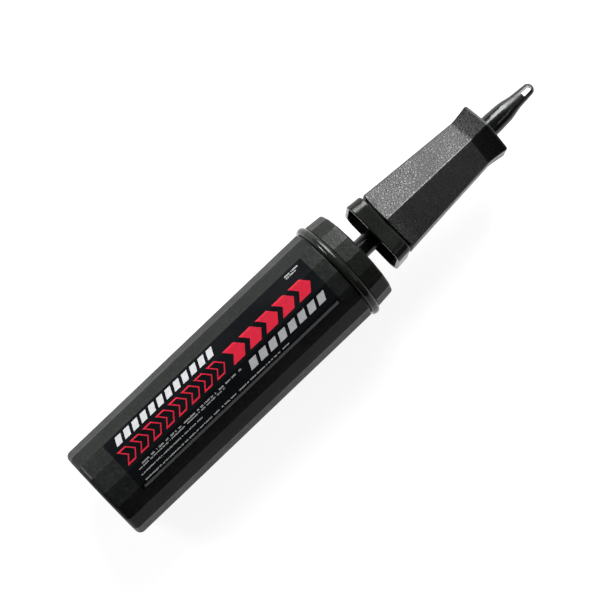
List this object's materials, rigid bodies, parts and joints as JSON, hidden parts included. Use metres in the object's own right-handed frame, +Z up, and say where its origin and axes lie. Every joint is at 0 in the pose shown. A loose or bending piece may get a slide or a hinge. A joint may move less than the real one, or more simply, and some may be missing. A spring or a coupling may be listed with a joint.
{
  "type": "hand pump for inflatables",
  "caption": "Double-action hand pump with a flat-sided barrel, sliding hollow rod, tapered six-sided grip and stepped push-in nozzle, pulled out a little.",
  "frame": {"origin": "centre of the bounding box in plan, at the lowest point of the cap's bead", "axes": "+X along the axis from the base to the nozzle, +Z up through the edge between two flats that the label is wrapped over"},
  "size_m": [0.301, 0.058, 0.058],
  "materials": {
    "barrel_plastic": "satin moulded black plastic with a faint green cast",
    "label_film": "glossy printed sticker, crimson and grey bars on black",
    "cap_plastic": "satin moulded charcoal plastic, polished bead",
    "collar_plastic": "smooth moulded plastic",
    "grip_plastic": "moulded plastic with a fine leather grain",
    "nozzle_plastic": "polished black plastic",
    "rod_plastic": "smooth black tube, lightly greased",
    "inner_plastic": "plain moulded plastic",
    "soft_rubber": "soft black rubber",
    "screw_steel": "zinc-plated steel"
  },
  "bodies": {
    "barrel": {"barrel": "barrel_plastic", "label": "label_film", "base_valve_cage": "inner_plastic", "cap": "cap_plastic", "cap_seal": "soft_rubber", "guide_plate": "inner_plastic", "guide_screws": "screw_steel", "rod_seal": "soft_rubber", "top_valve_cage": "inner_plastic"},
    "base_flap": {"base_intake_valve": "soft_rubber"},
    "top_flap": {"top_intake_valve": "soft_rubber"},
    "seal": {"piston_seal": "soft_rubber"},
    "plunger": {"piston_lower": "inner_plastic", "piston_upper": "inner_plastic", "valve_spider": "inner_plastic", "piston_screws": "screw_steel", "rod": "rod_plastic", "rod_clip": "screw_steel", "handle_collar": "collar_plastic", "handle_grip": "grip_plastic", "handle_end_cap": "collar_plastic", "nozzle": "nozzle_plastic", "nozzle_seal": "soft_rubber"},
    "lower_check": {"piston_lower_valve": "soft_rubber"},
    "upper_check": {"piston_upper_valve": "soft_rubber"}
  },
  "joints": [
    {"name": "pump_slide", "type": "slide", "parent": "barrel", "child": "seal", "axis": [1, 0, 0], "range_m": [-0.0104, 0.118]},
    {"name": "handle_spin", "type": "hinge", "parent": "seal", "child": "plunger", "pos_m": [0, 0, 0.029], "axis": [1, 0, 0], "continuous": true},
    {"name": "base_flap_lift", "type": "slide", "parent": "barrel", "child": "base_flap", "axis": [1, 0, 0], "range_m": [0, 0.0007]},
    {"name": "top_flap_lift", "type": "slide", "parent": "barrel", "child": "top_flap", "axis": [-1, 0, 0], "range_m": [0, 0.0007]},
    {"name": "lower_check_lift", "type": "slide", "parent": "plunger", "child": "lower_check", "axis": [1, 0, 0], "range_m": [0, 0.0007]},
    {"name": "upper_check_lift", "type": "slide", "parent": "plunger", "child": "upper_check", "axis": [-1, 0, 0], "range_m": [0, 0.0007]}
  ]
}
